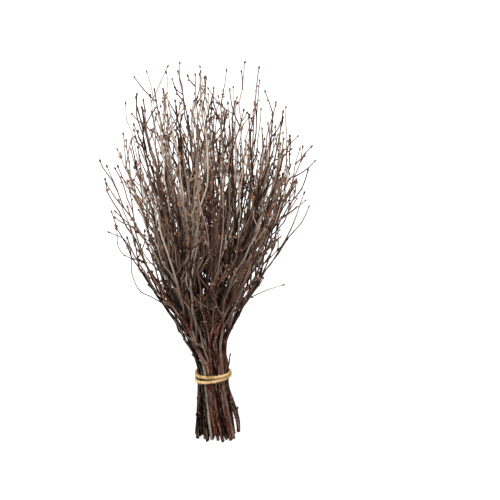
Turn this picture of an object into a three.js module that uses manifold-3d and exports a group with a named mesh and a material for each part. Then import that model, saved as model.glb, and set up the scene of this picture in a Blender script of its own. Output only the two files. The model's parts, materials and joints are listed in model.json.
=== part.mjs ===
// A bundle of birch twigs, tied near its cut ends with two turns of jute twine.
// It stands on the cut ends. Lengths are millimetres, angles are radians and +Z is up.
// The origin is the centre of the foot, on the floor. The front faces -Y.

import * as THREE from "three";
import { mergeVertices } from "three/addons/utils/BufferGeometryUtils.js";
import Module from "manifold-3d";

const wasm = await Module();
wasm.setup();

// The bundle as a whole
const topHeight = 430; // the highest twig tips
const tieHeight = 72.5; // the waist, where the twine goes round
const waistRadius = 18; // of the packed twigs under the twine
const footRadius = 25.5; // of the splayed cut ends
const fanSlope = 0.65; // run over rise of the outermost twigs, where the fan opens
const fanSoftStart = 12; // rise above the tie that they take to lean out
const fanTurnHeight = 150; // height above the tie where they begin to turn upright
const fanUprightHeight = 520; // and where they would be upright
const fanDepth = 0.8; // the fan is flatter from front to back than it is wide
const waistShift = -3; // the waist stands this far to the left of the foot's centre
const fanLean = -0.012; // run over rise of the fan's middle, to the right
const footTwist = 0.4; // turn of the cut ends round the bundle's axis
const fanTwist = -0.15; // turn of the fan round the same axis
const frontOpening = 0.45; // the twigs at the front and the back part to the two sides
const fanSettleHeight = 120; // height above the tie by which those are complete
const fanRounding = 0.42; // share of the fan's height that its outermost twigs fall short

// The twigs that are separate pieces, in two rings that are packed round the inner ones
const rings = [
  { name: "outer", count: 24, thinnest: 3.1, thickest: 4.6, packedTo: 18.0 },
  { name: "middle", count: 19, thinnest: 2.7, thickest: 3.9, packedTo: 13.1 },
];
const tipDiameter = 0.9; // of a twig, where its end bud sits
const twigSides = 6;
const driftReach = 1.3; // most that a twig strays from its packed place, at the waist's scale
const shortfall = 0.22; // most that a twig's tip falls short of its place in the dome
const deepestCut = 10; // most that a cut end stays above the floor
const standingStep = 3; // every third twig of a ring stands on the floor
const strayStep = 7; // every seventh outer twig leans out past its neighbours
const strayReach = 1.08; // and by this factor
const bowReach = 5; // most that an outer twig bows out to the right, between the foot and the tie

// The inner twigs, as one spindle with the section of their wood at each height
const innerFootRadius = 11.5;
const innerWaistRadius = 8.9;
const innerCrownRadius = 8.2;
const innerTipRadius = 2.5;
const innerCrownHeight = 345; // above this the twigs run out
const innerSides = 20;

// Where a stem has its cross-sections: the stretch under the twine is one straight length
const boundLow = tieHeight - 9;
const boundHigh = tieHeight + 11;
const sectionsBelow = 2;
const sectionsAbove = 8;

// The twine
const twineDiameter = 3.4;
const twineClearance = 0.4; // to the twigs
const twineTurns = 2;
const twineSides = 8;
const stepsPerTurn = 36;
const knotSize = new THREE.Vector3(11, 7, 10);
const tailLength = 20;
const tailSteps = 5;

const waistAxis = new THREE.Vector3(waistShift, 0, tieHeight);

// Numbers from 0 to 1 that are the same on each run.
function randomNumbers(seed) {
  let state = seed;
  return () => {
    state = (state + 0x6d2b79f5) | 0;
    let mixed = Math.imul(state ^ (state >>> 15), 1 | state);
    mixed = (mixed + Math.imul(mixed ^ (mixed >>> 7), 61 | mixed)) ^ mixed;
    return ((mixed ^ (mixed >>> 14)) >>> 0) / 4294967296;
  };
}

// Sideways place of the bundle's own axis at a height.
function axisShift(height) {
  const rise = Math.min(height / tieHeight, 1);
  return waistShift * Math.sin((rise * Math.PI) / 2) + fanLean * Math.max(height - tieHeight, 0);
}

// How far the fan's rise above the tie has carried its outermost twigs out, at their slope.
function openingAt(above) {
  const rise = Math.min(above, fanUprightHeight);
  const turned = Math.max(rise - fanTurnHeight, 0) ** 2 / (fanUprightHeight - fanTurnHeight) / 2;
  return rise ** 2 / (rise + fanSoftStart) - turned;
}

// The bundle's radius at a height over its waist radius: a hyperbola on each side of the tie.
function spreadAt(height) {
  const above = height - tieHeight;
  const footSlope = Math.sqrt(footRadius ** 2 - waistRadius ** 2) / tieHeight;
  const run = above > 0 ? fanSlope * openingAt(above) : footSlope * above;
  return Math.hypot(1, run / waistRadius);
}

// How much of the fan's own turn and shape is there at a height.
function settledAt(height) {
  return THREE.MathUtils.smoothstep(height, tieHeight, tieHeight + fanSettleHeight);
}

// Turn round the bundle's axis at a height.
function twistAt(height) {
  const below = Math.max(tieHeight - height, 0);
  return (footTwist * below) / tieHeight + fanTwist * settledAt(height);
}

// The fan bulges more to some sides than to others.
function bulgeAt(angle, height) {
  const lobes = 0.04 * Math.cos(3 * angle - 1.1) + 0.03 * Math.cos(5 * angle + 0.6);
  return 1 + lobes * settledAt(height);
}

// How much of its own stray a twig has taken up at a height.
function driftAt(height) {
  const above = height - tieHeight;
  return above > 0 ? 1 - Math.exp(-((above / 90) ** 2)) : 0.25 * (above / tieHeight) ** 2;
}

// A twig's centre at a height. One smooth map carries all twigs from the waist up and down,
// so that twigs that lie side by side at the waist never cross.
function twigCentre(twig, height) {
  const drift = driftAt(height);
  const x = twig.radius * Math.cos(twig.angle) + twig.driftX * drift;
  const y = twig.radius * Math.sin(twig.angle) + twig.driftY * drift;
  const turned = Math.atan2(y, x) + twistAt(height);
  const angle = turned - 0.5 * frontOpening * Math.sin(2 * turned) * settledAt(height);
  const stray = height > tieHeight ? 1 + (twig.reach - 1) * drift : 1;
  const bow = height < boundLow ? twig.bow * Math.sin((Math.PI * height) / boundLow) : 0;
  const spread = spreadAt(height) * bulgeAt(angle, height) * stray;
  const radius = Math.hypot(x, y) * spread + bow;
  return new THREE.Vector3(
    axisShift(height) + radius * Math.cos(angle),
    radius * Math.sin(angle) * THREE.MathUtils.lerp(1, fanDepth, settledAt(height)),
    height,
  );
}

// The heights of a stem's cross-sections, from its cut end to its tip.
function sectionHeights(lowest, highest) {
  const below = Array.from({ length: sectionsBelow }, (_, i) =>
    THREE.MathUtils.lerp(lowest, boundLow, i / sectionsBelow),
  );
  const above = Array.from({ length: sectionsAbove + 1 }, (_, i) =>
    THREE.MathUtils.lerp(boundHigh, highest, (i / sectionsAbove) ** 1.2),
  );
  return [...below, boundLow, ...above];
}

// A closed round stem along a route, with its lower end cut level.
function stemGeometry(centreAt, radiusAt, lowest, highest, sides) {
  const heights = sectionHeights(lowest, highest);
  const sections = heights.length - 1;
  const geometry = new THREE.CylinderGeometry(1, 1, 1, sides, sections);
  geometry.deleteAttribute("normal");
  geometry.deleteAttribute("uv");
  const place = geometry.getAttribute("position");
  const step = 2;
  const point = new THREE.Vector3();
  for (let i = 0; i < place.count; i++) {
    point.fromBufferAttribute(place, i);
    const section = Math.round((point.y + 0.5) * sections);
    const height = heights[section];
    const along = section === 0
      ? new THREE.Vector3(0, 0, 1)
      : centreAt(height).sub(centreAt(height - step)).normalize();
    const turn = new THREE.Quaternion().setFromUnitVectors(new THREE.Vector3(0, 0, 1), along);
    const offset = new THREE.Vector3(point.x, -point.z, 0).multiplyScalar(radiusAt(height));
    const moved = centreAt(height).add(offset.applyQuaternion(turn));
    place.setXYZ(i, moved.x, moved.y, moved.z);
  }
  return geometry;
}

// The twigs of a ring side by side, each turned on by its own thickness.
function packedRing(ring, random) {
  const diameters = Array.from({ length: ring.count }, () =>
    THREE.MathUtils.lerp(ring.thinnest, ring.thickest, random()),
  );
  const spans = diameters.map((diameter) => diameter / (ring.packedTo - diameter / 2));
  const spare = (2 * Math.PI - spans.reduce((sum, span) => sum + span, 0)) / ring.count;
  let angle = random() * 2 * Math.PI;
  return diameters.map((diameter, index) => {
    angle += (spans[index] + spare) / 2;
    const driftAngle = random() * 2 * Math.PI;
    const drift = driftReach * Math.sqrt(random());
    const twig = {
      name: `${ring.name}_twig_${String(index + 1).padStart(2, "0")}`,
      diameter,
      angle,
      radius: ring.packedTo - diameter / 2,
      driftX: drift * Math.cos(driftAngle),
      driftY: drift * Math.sin(driftAngle),
      reach: ring.name === "outer" && index % strayStep === 0 ? strayReach : 1,
      bow: ring.name === "outer" ? bowReach * random() * Math.max(Math.cos(angle), 0) : 0,
      cutHeight: index % standingStep === 0 ? 0 : deepestCut * random() ** 1.2,
      short: shortfall * random() ** 1.3,
      redness: random(),
    };
    angle += (spans[index] + spare) / 2;
    return twig;
  });
}

// Bark from grey-brown to red-brown.
function barkMaterial(redness) {
  const colour = new THREE.Color("#4a3b34").lerp(new THREE.Color("#5a2a20"), redness);
  return new THREE.MeshStandardMaterial({ color: colour, roughness: 0.6, metalness: 0 });
}

function twigMesh(twig) {
  const fanHeight = topHeight - tieHeight;
  const dome = 1 - fanRounding * (twig.radius / waistRadius) ** 2;
  const highest = tieHeight + fanHeight * dome * (1 - twig.short);
  const radiusAt = (height) => {
    const share = Math.max(height - tieHeight, 0) / (highest - tieHeight);
    return THREE.MathUtils.lerp(twig.diameter, tipDiameter, share ** 0.85) / 2;
  };
  const geometry = stemGeometry(
    (height) => twigCentre(twig, height),
    radiusAt,
    twig.cutHeight,
    highest,
    twigSides,
  );
  const mesh = new THREE.Mesh(geometry, barkMaterial(twig.redness));
  mesh.name = twig.name;
  return mesh;
}

function innerTwigs() {
  const radiusAt = (height) => {
    if (height < tieHeight) {
      const rise = Math.sin(((height / tieHeight) * Math.PI) / 2);
      return THREE.MathUtils.lerp(innerFootRadius, innerWaistRadius, rise);
    }
    if (height < innerCrownHeight) {
      const share = (height - tieHeight) / (innerCrownHeight - tieHeight);
      return THREE.MathUtils.lerp(innerWaistRadius, innerCrownRadius, share);
    }
    const share = (height - innerCrownHeight) / (topHeight - innerCrownHeight);
    return THREE.MathUtils.lerp(innerCrownRadius, innerTipRadius, share);
  };
  const centreAt = (height) => new THREE.Vector3(axisShift(height), 0, height);
  const geometry = stemGeometry(centreAt, radiusAt, 0, topHeight, innerSides);
  const mesh = new THREE.Mesh(geometry, barkMaterial(0.3));
  mesh.name = "inner_twigs";
  return mesh;
}

// Height of the twine's ring above the tie: low at the front, high at the right and the back.
function ringHeight(angle) {
  return 2.9 + 1.85 * Math.cos(angle) + 2.6 * Math.sin(angle);
}

// Gap between the two turns, centre to centre: widest at the left, touching at the right.
function turnGap(angle) {
  return 4.8 - 1.35 * Math.cos(angle);
}

// Outside of the packed twigs on the straight length under the twine.
function boundRadius(height) {
  const share = (height - boundLow) / (boundHigh - boundLow);
  return waistRadius * THREE.MathUtils.lerp(spreadAt(boundLow), spreadAt(boundHigh), share);
}

// Centre of the twine after a number of turns. It starts and ends at the back, in the knot.
function twineCentre(turns) {
  const angle = Math.PI / 2 + 2 * Math.PI * turns;
  const rise = ringHeight(angle) - turnGap(angle) * (turns - twineTurns / 2);
  const radius = boundRadius(tieHeight + rise) + twineClearance + twineDiameter / 2;
  return new THREE.Vector3(radius * Math.cos(angle), radius * Math.sin(angle), rise).add(waistAxis);
}

function twineTube(points, steps) {
  const section = new THREE.Shape();
  for (let i = 0; i < twineSides; i++) {
    const angle = (2 * Math.PI * i) / twineSides;
    const x = (twineDiameter / 2) * Math.cos(angle);
    const y = (twineDiameter / 2) * Math.sin(angle);
    if (i === 0) section.moveTo(x, y);
    else section.lineTo(x, y);
  }
  section.closePath();
  return new THREE.ExtrudeGeometry(section, {
    steps,
    extrudePath: new THREE.CatmullRomCurve3(points),
  });
}

function solidOf(geometry) {
  const bare = geometry.clone();
  bare.deleteAttribute("normal");
  bare.deleteAttribute("uv");
  const merged = mergeVertices(bare, 1e-3);
  return new wasm.Manifold(
    new wasm.Mesh({
      numProp: 3,
      vertProperties: merged.getAttribute("position").array,
      triVerts: new Uint32Array(merged.index.array),
    }),
  );
}

function geometryOf(solid) {
  const mesh = solid.getMesh();
  const geometry = new THREE.BufferGeometry();
  geometry.setAttribute("position", new THREE.BufferAttribute(mesh.vertProperties, 3));
  geometry.setIndex(new THREE.BufferAttribute(mesh.triVerts, 1));
  return geometry;
}

// Two turns of twine, the knot at the back and its two cut tails, all one piece.
function twine() {
  const steps = twineTurns * stepsPerTurn;
  const wound = Array.from({ length: steps + 1 }, (_, i) => twineCentre(i / stepsPerTurn));
  const knotCentre = twineCentre(twineTurns / 2).add(new THREE.Vector3(0, knotSize.y / 2, 0));
  const knot = new THREE.SphereGeometry(0.5, 12, 8);
  knot.scale(knotSize.x, knotSize.y, knotSize.z);
  knot.translate(knotCentre.x, knotCentre.y, knotCentre.z);
  const tails = [-1, 1].map((side) =>
    twineTube(
      [
        knotCentre.clone(),
        knotCentre.clone().add(new THREE.Vector3(side * tailLength * 0.45, 1.5, -1)),
        knotCentre.clone().add(new THREE.Vector3(side * tailLength * 0.8, 3, -tailLength * 0.35)),
      ],
      tailSteps,
    ),
  );
  const solid = [knot, ...tails]
    .map(solidOf)
    .reduce((whole, piece) => whole.add(piece), solidOf(twineTube(wound, steps)));
  const material = new THREE.MeshStandardMaterial({ color: "#c29a5b", roughness: 0.9, metalness: 0 });
  const mesh = new THREE.Mesh(geometryOf(solid), material);
  mesh.name = "twine";
  return mesh;
}

const random = randomNumbers(12);
const bundle = new THREE.Group();
bundle.name = "twig_bundle";
for (const ring of rings) {
  for (const twig of packedRing(ring, random)) bundle.add(twigMesh(twig));
}
bundle.add(innerTwigs());
bundle.add(twine());

export default bundle;
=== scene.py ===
# A tied bundle of birch twigs that stands on its cut ends.
# Lengths in the dictionaries are millimetres and angles are degrees. Meshes are made in metres.
import json
import math

import bpy
import numpy as np
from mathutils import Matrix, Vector

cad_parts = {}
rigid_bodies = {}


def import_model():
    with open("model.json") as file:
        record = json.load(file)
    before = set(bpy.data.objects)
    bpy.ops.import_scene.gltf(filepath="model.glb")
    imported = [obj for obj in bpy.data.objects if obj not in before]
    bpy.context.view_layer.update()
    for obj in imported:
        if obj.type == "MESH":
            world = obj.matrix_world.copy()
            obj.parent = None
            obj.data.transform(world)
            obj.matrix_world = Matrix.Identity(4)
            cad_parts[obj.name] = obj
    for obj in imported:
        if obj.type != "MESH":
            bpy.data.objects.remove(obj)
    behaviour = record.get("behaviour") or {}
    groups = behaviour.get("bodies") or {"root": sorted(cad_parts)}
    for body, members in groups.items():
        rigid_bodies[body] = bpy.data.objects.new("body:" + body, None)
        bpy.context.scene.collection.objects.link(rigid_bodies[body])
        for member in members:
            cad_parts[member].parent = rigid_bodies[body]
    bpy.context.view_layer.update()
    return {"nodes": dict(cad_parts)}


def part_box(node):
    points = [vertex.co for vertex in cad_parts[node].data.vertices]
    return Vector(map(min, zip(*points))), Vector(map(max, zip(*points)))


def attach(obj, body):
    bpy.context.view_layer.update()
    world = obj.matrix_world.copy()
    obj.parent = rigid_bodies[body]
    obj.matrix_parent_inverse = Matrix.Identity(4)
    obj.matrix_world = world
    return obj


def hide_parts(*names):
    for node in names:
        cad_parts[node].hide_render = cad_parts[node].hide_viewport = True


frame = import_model()
mm = 0.001

bundle = {
    "seed": 25,
    "topHeight": 429.5,
    "tieHeight": 72.5,
    "fanDepth": 0.8,             # front to back over side to side
    "outlineSpread": 3.5,        # how unevenly shoots end at the fan's outline
    "footBow": 5.4,              # how far the foot's outermost twigs on the right bow out
    "bowAngles": (0.19, 0.36),   # radians from straight right: all of it up to, none from
    "bowPlaces": (17.0, 20.0),   # distances from the axis: none of it up to, all from
    "sway": 7.0,                 # how far the lower fan stands to the left of the axis
    "swayStart": (6.0, 48.0),    # heights above the tie between which it grows
    "swayEnd": (80.0, 200.0),    # and between which it goes back
    # the fan's outline: height above the tie and distance from the axis
    "outline": (
        (0, 20), (31, 23), (64, 33), (76, 41), (92, 52), (110, 65), (143, 87),
        (166, 99), (210, 120), (240, 119), (265, 109), (285, 100), (330, 92), (358, 80),
    ),
}


def hexColour(text, alpha=1.0):
    parts = [int(text[i:i + 2], 16) / 255 for i in (1, 3, 5)]
    linear = [c / 12.92 if c <= 0.04045 else ((c + 0.055) / 1.055) ** 2.4 for c in parts]
    return (*linear, alpha)


def addNode(tree, kind, inputs=None, **settings):
    node = tree.nodes.new(kind)
    for name, value in settings.items():
        setattr(node, name, value)
    for name, value in (inputs or {}).items():
        socket = node.inputs[name]
        if isinstance(value, bpy.types.NodeSocket):
            tree.links.new(value, socket)
        else:
            socket.default_value = value
    return node


def startMaterial(name):
    material = bpy.data.materials.new(name)
    material.use_nodes = True
    tree = material.node_tree
    return material, tree, tree.nodes["Principled BSDF"]


def readAttribute(tree, name, output):
    return addNode(tree, "ShaderNodeAttribute", attribute_name=name).outputs[output]


def stretched(tree, vector, by):
    node = addNode(tree, "ShaderNodeVectorMath", {0: vector, 1: by}, operation="MULTIPLY")
    return node.outputs[0]


def noise(tree, vector, scale, detail=3.0, roughness=0.55):
    inputs = {"Vector": vector, "Scale": scale, "Detail": detail, "Roughness": roughness}
    return addNode(tree, "ShaderNodeTexNoise", inputs).outputs["Fac"]


def ramp(tree, factor, stops):
    node = addNode(tree, "ShaderNodeValToRGB", {"Fac": factor})
    points = node.color_ramp.elements
    while len(points) < len(stops):
        points.new(0.5)
    for point, (place, colour) in zip(points, stops):
        point.position = place
        point.color = hexColour(colour) if isinstance(colour, str) else (*[colour] * 3, 1.0)
    return node.outputs["Color"]


def mixed(tree, factor, first, second, blend="MIX"):
    inputs = {0: factor, 6: first, 7: second}
    return addNode(tree, "ShaderNodeMix", inputs, data_type="RGBA", blend_type=blend).outputs[2]


def maths(tree, operation, *values):
    inputs = dict(enumerate(values))
    return addNode(tree, "ShaderNodeMath", inputs, operation=operation).outputs[0]


def addBump(tree, shader, height, strength, distance):
    inputs = {"Strength": strength, "Distance": distance * mm, "Height": height}
    bump = addNode(tree, "ShaderNodeBump", inputs)
    tree.links.new(bump.outputs["Normal"], shader.inputs["Normal"])


bark = {
    "patchScale": 65.0,          # per metre
    "streakScale": 950.0,
    "lenticelScale": 430.0,
    "speckScale": 640.0,
    "bump": 0.35,
    "oldBelow": 60,              # the height where bark begins to be younger
    "ageing": 260,               # and over how much height it does
}


def barkMaterial():
    material, tree, shader = startMaterial("birchBark")
    place = readAttribute(tree, "barkPlace", "Vector")
    tone = readAttribute(tree, "tone", "Fac")
    age = readAttribute(tree, "age", "Fac")

    patches = noise(tree, stretched(tree, place, (1.0, 1.0, 0.5)), bark["patchScale"], 4.0)
    base = maths(tree, "ADD", tone, maths(tree, "MULTIPLY_ADD", patches, 0.6, -0.3))
    colour = ramp(tree, base, [
        (0.00, "#030100"),
        (0.24, "#120503"),
        (0.38, "#38130e"),
        (0.52, "#522a22"),
        (0.64, "#544034"),
        (0.80, "#6b5d53"),
        (0.98, "#7e7369"),
    ])

    # pale grey streaks along the stems, stronger on paler bark: partly the bark's own bloom and
    # partly a painted highlight
    bloomAndHighlightNoise = noise(tree, stretched(tree, place, (1.0, 1.0, 0.14)), 300.0)
    bloomAndHighlight = ramp(tree, bloomAndHighlightNoise, [(0.50, 0.0), (0.66, 1.0)])
    share = maths(tree, "MULTIPLY", bloomAndHighlight, maths(tree, "MULTIPLY", tone, 0.45))
    colour = mixed(tree, share, colour, hexColour("#a79b8e"))

    # fine lengthwise streaks, partly the bark's own streaks and partly painted sheen: lighter
    # lines with darker bands between them
    streaks = noise(tree, stretched(tree, place, (1.0, 1.0, 0.05)), bark["streakScale"], 2.0)
    streakAndSheenShade = ramp(tree, streaks, [(0.34, 0.40), (0.60, 1.0)])
    colour = mixed(tree, 0.85, colour, streakAndSheenShade, "MULTIPLY")
    specks = noise(tree, stretched(tree, place, (1.0, 1.0, 0.10)), bark["speckScale"], 2.0, 0.7)
    light = ramp(tree, specks, [(0.55, 0.0), (0.68, 0.36)])
    dark = ramp(tree, specks, [(0.34, 0.75), (0.48, 0.0)])
    colour = mixed(tree, dark, colour, hexColour("#100402"))
    colour = mixed(tree, light, colour, hexColour("#a98f7d"))

    dots = addNode(
        tree,
        "ShaderNodeTexVoronoi",
        {"Vector": stretched(tree, place, (1.0, 1.0, 0.55)), "Scale": bark["lenticelScale"]},
    )
    dotMask = ramp(tree, dots.outputs["Distance"], [(0.16, 1.0), (0.27, 0.0)])
    dotShare = maths(tree, "MULTIPLY", dotMask, maths(tree, "MULTIPLY_ADD", tone, 0.35, 0.1))
    colour = mixed(tree, dotShare, colour, hexColour("#b7a48f"))
    # the bark is darker towards the bottom, over the cut ends, the tie and just above it
    footDarkening = ramp(tree, age, [(0.88, 0.0), (1.0, 0.34)])
    darkenedFoot = mixed(tree, 1.0, colour, hexColour("#5c4c42"), "MULTIPLY")
    colour = mixed(tree, footDarkening, colour, darkenedFoot)
    fresh = ramp(tree, base, [
        (0.00, "#291a14"),
        (0.28, "#573e33"),
        (0.50, "#806c5f"),
        (0.70, "#998a7a"),
        (0.95, "#b4a99d"),
    ])
    colour = mixed(tree, ramp(tree, age, [(0.06, 0.9), (0.56, 0.0)]), colour, fresh)
    tree.links.new(colour, shader.inputs["Base Color"])

    gloss = ramp(tree, patches, [(0.3, 0.34), (0.7, 0.56)])
    tree.links.new(gloss, shader.inputs["Roughness"])
    shader.inputs["Specular IOR Level"].default_value = 0.04
    shader.inputs["Specular Tint"].default_value = hexColour("#b4523a")
    height = maths(tree, "ADD", streaks, maths(tree, "MULTIPLY", dotMask, 0.4))
    addBump(tree, shader, height, bark["bump"], 0.25)
    return material


def cutWoodMaterial():
    material, tree, shader = startMaterial("cutWood")
    place = readAttribute(tree, "profile", "Vector")
    tone = readAttribute(tree, "tone", "Fac")
    length = addNode(tree, "ShaderNodeVectorMath", {0: place}, operation="LENGTH")
    distance = length.outputs["Value"]
    grain = noise(tree, place, 4.0, 4.0)
    rings = maths(tree, "SINE", maths(tree, "MULTIPLY", distance, 24.0))
    wood = ramp(tree, maths(tree, "ADD", grain, maths(tree, "MULTIPLY", rings, 0.06)), [
        (0.30, "#4a3324"),
        (0.52, "#8a6647"),
        (0.75, "#b08a62"),
    ])
    aged = mixed(tree, ramp(tree, tone, [(0.2, 0.85), (0.9, 0.25)]), wood, hexColour("#33241c"))
    edge = ramp(tree, distance, [
        (0.0, "#3a2a20"), (0.10, "#ffffff"), (0.78, "#ffffff"), (0.86, "#3b2419"),
    ])
    tree.links.new(mixed(tree, 1.0, aged, edge, "MULTIPLY"), shader.inputs["Base Color"])
    shader.inputs["Roughness"].default_value = 0.85
    addBump(tree, shader, grain, 0.4, 0.2)
    return material


def budMaterial():
    material, tree, shader = startMaterial("budScales")
    place = readAttribute(tree, "budPlace", "Vector")
    tone = readAttribute(tree, "budTone", "Fac")
    along = addNode(tree, "ShaderNodeSeparateXYZ", {0: place}).outputs["Z"]
    wobble = noise(tree, place, 2.5)
    scales = maths(tree, "FRACT", maths(tree, "MULTIPLY_ADD", along, 3.6, 0.1))
    colour = ramp(tree, maths(tree, "ADD", along, maths(tree, "MULTIPLY", wobble, 0.25)), [
        (0.05, "#4a2c1b"),
        (0.30, "#7c4f39"),
        (0.70, "#a0704f"),
        (1.05, "#704b32"),
    ])
    darkShare = ramp(tree, tone, [(0.45, 1.0), (0.75, 0.0)])
    colour = mixed(tree, darkShare, colour, hexColour("#3a261c"))
    edges = ramp(tree, scales, [(0.70, 0.0), (0.98, 0.65)])
    colour = mixed(tree, edges, colour, hexColour("#2b150e"))
    tree.links.new(colour, shader.inputs["Base Color"])
    shader.inputs["Roughness"].default_value = 0.45
    shader.inputs["Specular IOR Level"].default_value = 0.4
    addBump(tree, shader, scales, 0.5, 0.2)
    return material


def juteMaterial():
    material, tree, shader = startMaterial("juteTwine")
    place = readAttribute(tree, "barkPlace", "Vector")
    tone = readAttribute(tree, "tone", "Fac")
    fibres = noise(tree, stretched(tree, place, (1.0, 1.0, 0.10)), 3200.0, 3.0, 0.6)
    patches = noise(tree, place, 130.0)
    base = maths(tree, "MULTIPLY_ADD", fibres, 0.7, maths(tree, "MULTIPLY", patches, 0.35))
    colour = ramp(tree, base, [
        (0.30, "#432c16"),
        (0.44, "#84643d"),
        (0.56, "#b5976a"),
        (0.76, "#e0cca6"),
    ])
    darker = ramp(tree, tone, [(0.0, 0.3), (1.0, 0.0)])
    colour = mixed(tree, darker, colour, hexColour("#94744c"))
    tree.links.new(colour, shader.inputs["Base Color"])
    shader.inputs["Roughness"].default_value = 0.9
    shader.inputs["Specular IOR Level"].default_value = 0.2
    addBump(tree, shader, fibres, 0.7, 0.3)
    return material


# How far each point of a line is along it.
def arcLengths(points):
    return np.concatenate([[0.0], np.cumsum(np.linalg.norm(np.diff(points, axis=0), axis=1))])


def pointsAt(points, lengths):
    run = arcLengths(points)
    return np.stack([np.interp(lengths, run, points[:, k]) for k in range(3)], axis=1)


def unit(vector):
    return vector / max(np.linalg.norm(vector), 1e-9)


def smoothStep(value, low, high):
    share = np.clip((value - low) / (high - low), 0.0, 1.0)
    return share * share * (3 - 2 * share)


def smoothLine(points):
    padded = np.vstack([2 * points[0] - points[1], points, 2 * points[-1] - points[-2]])
    t = np.linspace(0, 1, 10, endpoint=False)[:, None]
    spans = []
    for a, b, c, d in zip(padded, padded[1:], padded[2:], padded[3:]):
        bend = (2 * a - 5 * b + 4 * c - d) * t ** 2 + (3 * b - a - 3 * c + d) * t ** 3
        spans.append(0.5 * (2 * b + (c - a) * t + bend))
    return np.vstack(spans + [points[-1:]])


def acrossFrom(direction, angle):
    side = unit(np.cross(direction, np.array([0.35, 0.9, 0.1])))
    other = np.cross(direction, side)
    return side * math.cos(angle) + other * math.sin(angle)


# Lines and loose bud points, gathered into one wire mesh.
class Wires:
    def __init__(self):
        self.points = []
        self.edges = []
        self.values = {"girth": [], "tone": [], "age": [], "cut": [], "slant": [], "ply": []}
        self.budPoints = []

    def addLine(self, points, radii, tone, age, cut=False, slant=0.0, ply=1.0, closed=False):
        start = len(self.points)
        count = len(points)
        self.points.extend(points)
        self.edges.extend((start + i, start + i + 1) for i in range(count - 1))
        if closed:
            self.edges.append((start + count - 1, start))
        self.values["girth"].extend(radii)
        self.values["tone"].extend(np.broadcast_to(tone, count))
        self.values["age"].extend(np.broadcast_to(age, count))
        self.values["cut"].extend([1.0 if cut else 0.0] + [0.0] * (count - 1))
        self.values["slant"].extend([slant] * count)
        self.values["ply"].extend([ply] * count)

    def addBud(self, place, axis, length, width, tone):
        self.budPoints.append((place, axis, length, width, tone))

    def toObject(self, name):
        lines = len(self.points)
        places = self.points + [b[0] for b in self.budPoints]
        mesh = bpy.data.meshes.new(name)
        mesh.from_pydata([tuple(np.asarray(p) * mm) for p in places], self.edges, [])
        for key, values in self.values.items():
            scale = mm if key == "girth" else 1.0
            column = np.zeros(len(places), np.float32)
            column[:lines] = np.asarray(values, np.float32) * scale
            if key == "tone":
                column[lines:] = [b[4] for b in self.budPoints]
            mesh.attributes.new(key, "FLOAT", "POINT").data.foreach_set("value", column)
        isBud = np.zeros(len(places), bool)
        isBud[lines:] = True
        mesh.attributes.new("bud", "BOOLEAN", "POINT").data.foreach_set("value", isBud)
        axes = np.zeros((len(places), 3), np.float32)
        sizes = np.zeros((len(places), 3), np.float32)
        for i, (_, axis, length, width, _) in enumerate(self.budPoints):
            axes[lines + i] = axis
            sizes[lines + i] = (width / 2 * mm, width / 2 * mm, length * mm)
        for key, column in (("budAxis", axes), ("budSize", sizes)):
            layer = mesh.attributes.new(key, "FLOAT_VECTOR", "POINT")
            layer.data.foreach_set("vector", column.ravel())
        wire = bpy.data.objects.new(name, mesh)
        bpy.context.scene.collection.objects.link(wire)
        return wire


# An empty Geometry Nodes tree with named inputs for its sizes.
def startTree(name, inputs):
    tree = bpy.data.node_groups.new(name, "GeometryNodeTree")
    tree.interface.new_socket("Geometry", in_out="INPUT", socket_type="NodeSocketGeometry")
    for label, value in inputs.items():
        kind = "NodeSocketInt" if isinstance(value, int) else "NodeSocketFloat"
        socket = tree.interface.new_socket(label, in_out="INPUT", socket_type=kind)
        socket.default_value = value
    tree.interface.new_socket("Geometry", in_out="OUTPUT", socket_type="NodeSocketGeometry")
    return tree, tree.nodes.new("NodeGroupInput"), tree.nodes.new("NodeGroupOutput")


def named(tree, name, kind="FLOAT"):
    node = addNode(tree, "GeometryNodeInputNamedAttribute", {"Name": name}, data_type=kind)
    return node.outputs["Attribute"]


def store(tree, geometry, name, value, kind="FLOAT", domain="POINT"):
    inputs = {"Geometry": geometry, "Name": name, "Value": value}
    node = addNode(
        tree, "GeometryNodeStoreNamedAttribute", inputs, data_type=kind, domain=domain
    )
    return node.outputs["Geometry"]


def isOver(tree, value, limit=0.99):
    node = addNode(tree, "FunctionNodeCompare", {0: value, 1: limit}, operation="GREATER_THAN")
    return node.outputs["Result"]


def vectors(tree, operation, **inputs):
    sockets = {{"first": 0, "second": 1, "by": "Scale"}[key]: v for key, v in inputs.items()}
    return addNode(tree, "ShaderNodeVectorMath", sockets, operation=operation).outputs[0]


def moved(tree, geometry, offset, selection=None):
    inputs = {"Geometry": geometry, "Offset": offset}
    if selection is not None:
        inputs["Selection"] = selection
    return addNode(tree, "GeometryNodeSetPosition", inputs).outputs[0]


def asCurves(tree, mesh):
    return addNode(tree, "GeometryNodeMeshToCurve", {"Mesh": mesh}).outputs[0]


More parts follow.
